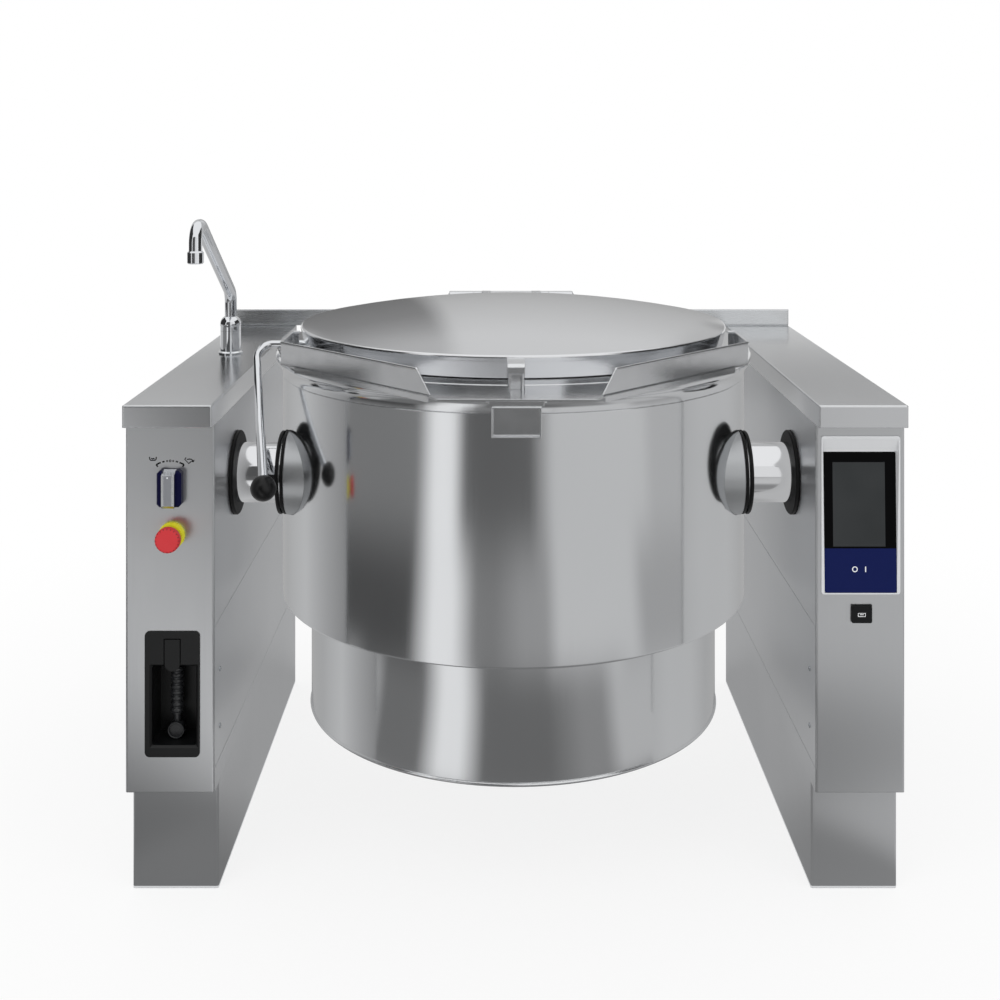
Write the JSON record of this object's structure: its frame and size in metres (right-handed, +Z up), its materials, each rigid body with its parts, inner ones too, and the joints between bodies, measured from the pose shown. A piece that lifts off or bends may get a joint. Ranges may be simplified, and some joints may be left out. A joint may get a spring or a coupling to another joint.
{
  "type": "tilting boiling pan",
  "caption": "Floor-standing tilting boiling pan: round lidded vessel with a pouring lip, hung between two control columns with a swivel tap, hand spray, tilt knob and leaning display.",
  "frame": {"origin": "on the floor, at the centre of the unit's footprint and under the vessel's axis", "axes": "+Z up, +X to the user's right along the tilt axis, -Y towards the user and the pouring lip"},
  "size_m": [1.4, 1.2, 1.2146],
  "materials": {
    "satin_steel": "satin brushed stainless sheet",
    "plinth_steel": "satin stainless sheet",
    "inner_steel": "primed steel",
    "vessel_steel": "polished stainless sheet",
    "polished_steel": "bright polished",
    "black_rubber": "matte",
    "black_plastic": "fine textured moulding",
    "navy_plastic": "smooth moulding",
    "grey_plastic": "smooth moulding",
    "yellow_plastic": "smooth moulding",
    "red_plastic": "smooth moulding",
    "display_glass": "hard coated panel",
    "brass": "plain"
  },
  "bodies": {
    "base": {"column_casing_left": "satin_steel", "column_casing_right": "satin_steel", "column_cap_left": "satin_steel", "column_cap_right": "satin_steel", "inner_panel_upper_left": "satin_steel", "inner_panel_upper_right": "satin_steel", "inner_panel_lower_left": "satin_steel", "inner_panel_lower_right": "satin_steel", "rear_rail": "satin_steel", "display_bezel": "satin_steel", "plinth_left": "plinth_steel", "plinth_right": "plinth_steel", "column_frame_left": "inner_steel", "column_frame_right": "inner_steel", "trunnion_bearing_left": "inner_steel", "trunnion_bearing_right": "inner_steel", "tilt_gearbox": "inner_steel", "tilt_motor": "inner_steel", "control_box": "inner_steel", "tap_body": "polished_steel", "panel_screws": "polished_steel", "column_seals": "black_rubber", "recess_housing": "black_plastic", "port_socket": "black_plastic", "contact_blocks": "black_plastic", "cable_gland": "black_plastic", "stop_collar": "yellow_plastic", "display_glass": "display_glass", "water_valve": "brass", "water_inlets": "brass"},
    "vessel": {"inner_pan": "vessel_steel", "heating_jacket": "inner_steel", "heating_elements": "polished_steel", "drum_cladding": "vessel_steel", "lower_skirt": "vessel_steel", "rim_collar": "vessel_steel", "pouring_rim": "vessel_steel", "splash_guard_left": "vessel_steel", "splash_guard_right": "vessel_steel", "lip_bracket": "vessel_steel", "catch_post": "vessel_steel", "trunnion_left": "polished_steel", "trunnion_right": "polished_steel", "vessel_discs": "black_rubber", "hinge_housing": "vessel_steel", "hinge_pin": "vessel_steel"},
    "lid": {"lid_shell": "vessel_steel", "lid_seal": "black_rubber", "lid_hinge_arms": "vessel_steel", "lid_lever": "polished_steel", "lever_knob": "black_plastic", "lid_catch": "vessel_steel"},
    "tap": {"tap_spout": "polished_steel", "tap_aerator": "polished_steel"},
    "knob": {"tilt_knob": "navy_plastic", "knob_grip": "grey_plastic"},
    "stop_plunger": {"stop_stem": "polished_steel"},
    "stop_button": {"stop_head": "red_plastic"},
    "gun": {"spray_gun": "black_plastic"},
    "flap": {"port_cover": "black_plastic"}
  },
  "joints": [
    {"name": "vessel_tilt", "type": "hinge", "parent": "base", "child": "vessel", "pos_m": [0, -0.175, 0.725], "axis": [1, 0, 0], "range_deg": [0, 95]},
    {"name": "lid_open", "type": "hinge", "parent": "vessel", "child": "lid", "pos_m": [0, 0.472, 0.984], "axis": [-1, 0, 0], "range_deg": [0, 90]},
    {"name": "tap_swivel", "type": "hinge", "parent": "base", "child": "tap", "pos_m": [-0.62, 0.169, 0.95], "axis": [0, 0, -1], "range_deg": [-135, 45]},
    {"name": "knob_turn", "type": "hinge", "parent": "base", "child": "knob", "pos_m": [-0.618, -0.376, 0.749], "axis": [0, 1, 0], "range_deg": [-35, 35], "stiffness_Nm_per_rad": 0.1},
    {"name": "stop_push", "type": "slide", "parent": "base", "child": "stop_plunger", "axis": [0, 1, 0], "range_m": [0, 0.004]},
    {"name": "stop_twist", "type": "hinge", "parent": "stop_plunger", "child": "stop_button", "pos_m": [-0.616, -0.376, 0.663], "axis": [0, 1, 0], "range_deg": [0, 40], "stiffness_Nm_per_rad": 0.1},
    {"name": "gun_pull", "type": "slide", "parent": "base", "child": "gun", "axis": [0, -1, 0], "range_m": [0, 0.06]},
    {"name": "flap_open", "type": "hinge", "parent": "base", "child": "flap", "pos_m": [0.622, -0.3778, 0.5353], "axis": [-1, 0, 0], "range_deg": [0, 110]}
  ]
}
